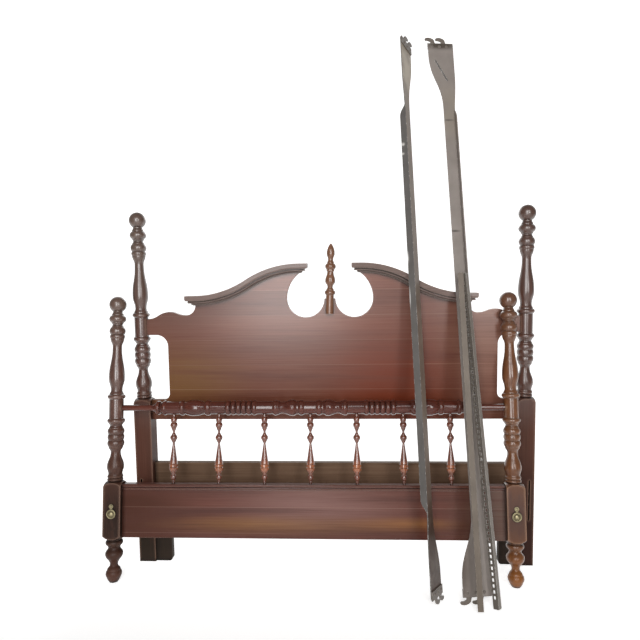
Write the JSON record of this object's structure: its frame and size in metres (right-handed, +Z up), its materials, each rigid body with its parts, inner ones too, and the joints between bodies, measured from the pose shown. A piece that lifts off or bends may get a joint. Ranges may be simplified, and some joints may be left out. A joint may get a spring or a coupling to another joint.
{
  "type": "bed frame",
  "caption": "Knocked-down bed frame: scrolled-crest headboard with ball-topped turned posts, spindle and roll footboard leaning on it, loose steel side rails and cross bars.",
  "frame": {"origin": "floor level under the middle of the whole stack's box", "axes": "+X to the right as seen from the footboard side, +Y from the footboard towards the headboard, +Z up"},
  "size_m": [1.534, 0.5396, 1.9572],
  "materials": {
    "headboard_wood": "satin stain",
    "footboard_wood": "satin stain",
    "roll_wood": "gloss stain",
    "brass": "dull antique",
    "rail_paint": "brown-grey paint",
    "bare_steel": "plain"
  },
  "bodies": {
    "headboard": {"left_head_post": "headboard_wood", "right_head_post": "headboard_wood", "left_head_ball": "headboard_wood", "right_head_ball": "headboard_wood", "head_panel": "headboard_wood", "left_crest_moulding": "headboard_wood", "right_crest_moulding": "headboard_wood", "crest_finial": "headboard_wood", "head_low_rail": "headboard_wood", "left_foot_cleat": "headboard_wood", "right_foot_cleat": "headboard_wood", "cleat_screws": "bare_steel", "head_slot_pins": "bare_steel"},
    "footboard": {"left_foot_post": "footboard_wood", "right_foot_post": "footboard_wood", "left_foot_ball": "footboard_wood", "right_foot_ball": "footboard_wood", "foot_panel": "footboard_wood", "foot_panel_cap": "footboard_wood", "blanket_roll": "roll_wood", "spindle_1": "roll_wood", "spindle_2": "roll_wood", "spindle_3": "roll_wood", "spindle_4": "roll_wood", "spindle_5": "roll_wood", "spindle_6": "roll_wood", "spindle_7": "roll_wood", "left_cover_pin": "brass", "right_cover_pin": "brass", "foot_slot_pins": "bare_steel"},
    "left_bolt_cover": {"left_bolt_cover": "brass"},
    "right_bolt_cover": {"right_bolt_cover": "brass"},
    "left_side_rail": {"left_rail": "rail_paint", "left_rail_foot_hooks": "rail_paint", "left_rail_top_hooks": "rail_paint", "left_rail_rivets": "rail_paint"},
    "right_side_rail": {"right_rail": "rail_paint", "right_rail_foot_hooks": "rail_paint", "right_rail_top_hooks": "rail_paint", "right_rail_rivets": "rail_paint"},
    "plain_bar": {"plain_cross_bar": "rail_paint"},
    "slotted_bar": {"slotted_cross_bar": "rail_paint"}
  },
  "joints": [
    {"name": "footboard_away", "type": "slide", "parent": "headboard", "child": "footboard", "axis": [0, -1, 0], "range_m": [0, 0.6]},
    {"name": "left_rail_away", "type": "slide", "parent": "footboard", "child": "left_side_rail", "axis": [0, -1, 0], "range_m": [0, 0.6]},
    {"name": "right_rail_away", "type": "slide", "parent": "footboard", "child": "right_side_rail", "axis": [0, -1, 0], "range_m": [0, 0.6]},
    {"name": "plain_bar_away", "type": "slide", "parent": "right_side_rail", "child": "plain_bar", "axis": [0, -1, 0], "range_m": [0, 0.6]},
    {"name": "slotted_bar_away", "type": "slide", "parent": "right_side_rail", "child": "slotted_bar", "axis": [0, -1, 0], "range_m": [0, 0.6]},
    {"name": "left_cover_swing", "type": "hinge", "parent": "footboard", "child": "left_bolt_cover", "pos_m": [-0.736, -0.10542, 0.27172], "axis": [0, -0.9897, 0.1434], "range_deg": [-170, 170]},
    {"name": "right_cover_swing", "type": "hinge", "parent": "footboard", "child": "right_bolt_cover", "pos_m": [0.664, -0.10542, 0.27172], "axis": [0, -0.9897, 0.1434], "range_deg": [-170, 170]}
  ]
}
